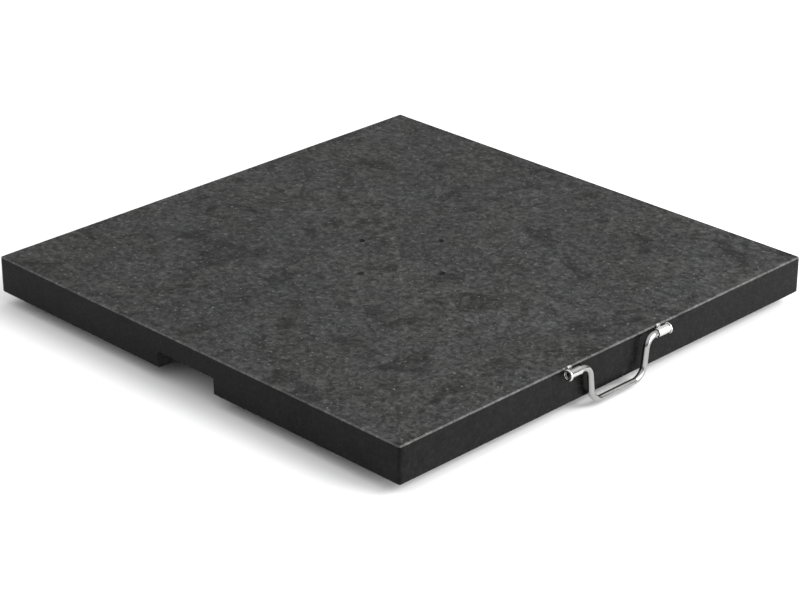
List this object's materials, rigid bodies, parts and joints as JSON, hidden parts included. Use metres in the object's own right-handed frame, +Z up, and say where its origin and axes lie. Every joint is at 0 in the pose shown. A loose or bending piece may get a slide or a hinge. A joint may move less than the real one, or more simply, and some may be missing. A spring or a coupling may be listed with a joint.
{
  "type": "rolling granite parasol base",
  "caption": "Square dark granite ballast slab on recessed swivel castors, with a stainless bail handle on one side and a four-bolt seat for a parasol foot.",
  "frame": {"origin": "centre of the slab's top face, in the middle of the four-bolt parasol seat", "axes": "+Z up out of the top face; +X towards the bail handle; the hand recesses are at -Y and +Y"},
  "size_m": [0.8175, 0.8, 0.0756],
  "materials": {
    "granite": "leathered top and honed sides",
    "stainless_polished": "polished",
    "stainless": "satin",
    "zinc": "zinc plated",
    "resin": "cured grey resin",
    "nylon": "moulded black nylon",
    "tread": "soft grey tread"
  },
  "bodies": {
    "base": {"granite_slab": "granite", "threaded_insert_right": "stainless", "threaded_insert_back": "stainless", "threaded_insert_left": "stainless", "threaded_insert_front": "stainless", "pivot_sleeve_left": "stainless_polished", "pivot_bracket_left": "stainless", "resin_anchor_left": "resin", "pivot_sleeve_right": "stainless_polished", "pivot_bracket_right": "stainless", "resin_anchor_right": "resin", "castor_front_left_plate": "zinc", "castor_front_left_ball_race": "zinc", "castor_front_left_kingpin": "zinc", "castor_front_left_screw_a": "zinc", "castor_front_left_screw_b": "zinc", "castor_front_left_screw_c": "zinc", "castor_front_left_screw_d": "zinc", "castor_front_right_plate": "zinc", "castor_front_right_ball_race": "zinc", "castor_front_right_kingpin": "zinc", "castor_front_right_screw_a": "zinc", "castor_front_right_screw_b": "zinc", "castor_front_right_screw_c": "zinc", "castor_front_right_screw_d": "zinc", "castor_rear_left_plate": "zinc", "castor_rear_left_ball_race": "zinc", "castor_rear_left_kingpin": "zinc", "castor_rear_left_screw_a": "zinc", "castor_rear_left_screw_b": "zinc", "castor_rear_left_screw_c": "zinc", "castor_rear_left_screw_d": "zinc", "castor_rear_right_plate": "zinc", "castor_rear_right_ball_race": "zinc", "castor_rear_right_kingpin": "zinc", "castor_rear_right_screw_a": "zinc", "castor_rear_right_screw_b": "zinc", "castor_rear_right_screw_c": "zinc", "castor_rear_right_screw_d": "zinc"},
    "bail": {"bail_handle": "stainless_polished"},
    "front_left_fork": {"castor_front_left_fork": "zinc", "castor_front_left_axle": "zinc", "castor_front_left_axle_nut": "zinc"},
    "front_left_wheel": {"castor_front_left_hub": "nylon", "castor_front_left_tyre": "tread"},
    "front_right_fork": {"castor_front_right_fork": "zinc", "castor_front_right_axle": "zinc", "castor_front_right_axle_nut": "zinc"},
    "front_right_wheel": {"castor_front_right_hub": "nylon", "castor_front_right_tyre": "tread"},
    "rear_left_fork": {"castor_rear_left_fork": "zinc", "castor_rear_left_axle": "zinc", "castor_rear_left_axle_nut": "zinc"},
    "rear_left_wheel": {"castor_rear_left_hub": "nylon", "castor_rear_left_tyre": "tread"},
    "rear_right_fork": {"castor_rear_right_fork": "zinc", "castor_rear_right_axle": "zinc", "castor_rear_right_axle_nut": "zinc"},
    "rear_right_wheel": {"castor_rear_right_hub": "nylon", "castor_rear_right_tyre": "tread"}
  },
  "joints": [
    {"name": "bail_swing", "type": "hinge", "parent": "base", "child": "bail", "pos_m": [0.4095, -0.004, -0.0054], "axis": [0, -1, 0], "range_deg": [-5, 218]},
    {"name": "front_left_swivel", "type": "hinge", "parent": "base", "child": "front_left_fork", "pos_m": [0.305, -0.305, -0.0337], "axis": [0, 0, 1], "continuous": true},
    {"name": "front_left_wheel_spin", "type": "hinge", "parent": "front_left_fork", "child": "front_left_wheel", "pos_m": [0.292, -0.305, -0.0555], "axis": [0, 1, 0], "continuous": true},
    {"name": "front_right_swivel", "type": "hinge", "parent": "base", "child": "front_right_fork", "pos_m": [0.305, 0.305, -0.0337], "axis": [0, 0, 1], "continuous": true},
    {"name": "front_right_wheel_spin", "type": "hinge", "parent": "front_right_fork", "child": "front_right_wheel", "pos_m": [0.292, 0.305, -0.0555], "axis": [0, 1, 0], "continuous": true},
    {"name": "rear_left_swivel", "type": "hinge", "parent": "base", "child": "rear_left_fork", "pos_m": [-0.305, -0.305, -0.0337], "axis": [0, 0, 1], "continuous": true},
    {"name": "rear_left_wheel_spin", "type": "hinge", "parent": "rear_left_fork", "child": "rear_left_wheel", "pos_m": [-0.318, -0.305, -0.0555], "axis": [0, 1, 0], "continuous": true},
    {"name": "rear_right_swivel", "type": "hinge", "parent": "base", "child": "rear_right_fork", "pos_m": [-0.305, 0.305, -0.0337], "axis": [0, 0, 1], "continuous": true},
    {"name": "rear_right_wheel_spin", "type": "hinge", "parent": "rear_right_fork", "child": "rear_right_wheel", "pos_m": [-0.318, 0.305, -0.0555], "axis": [0, 1, 0], "continuous": true}
  ]
}
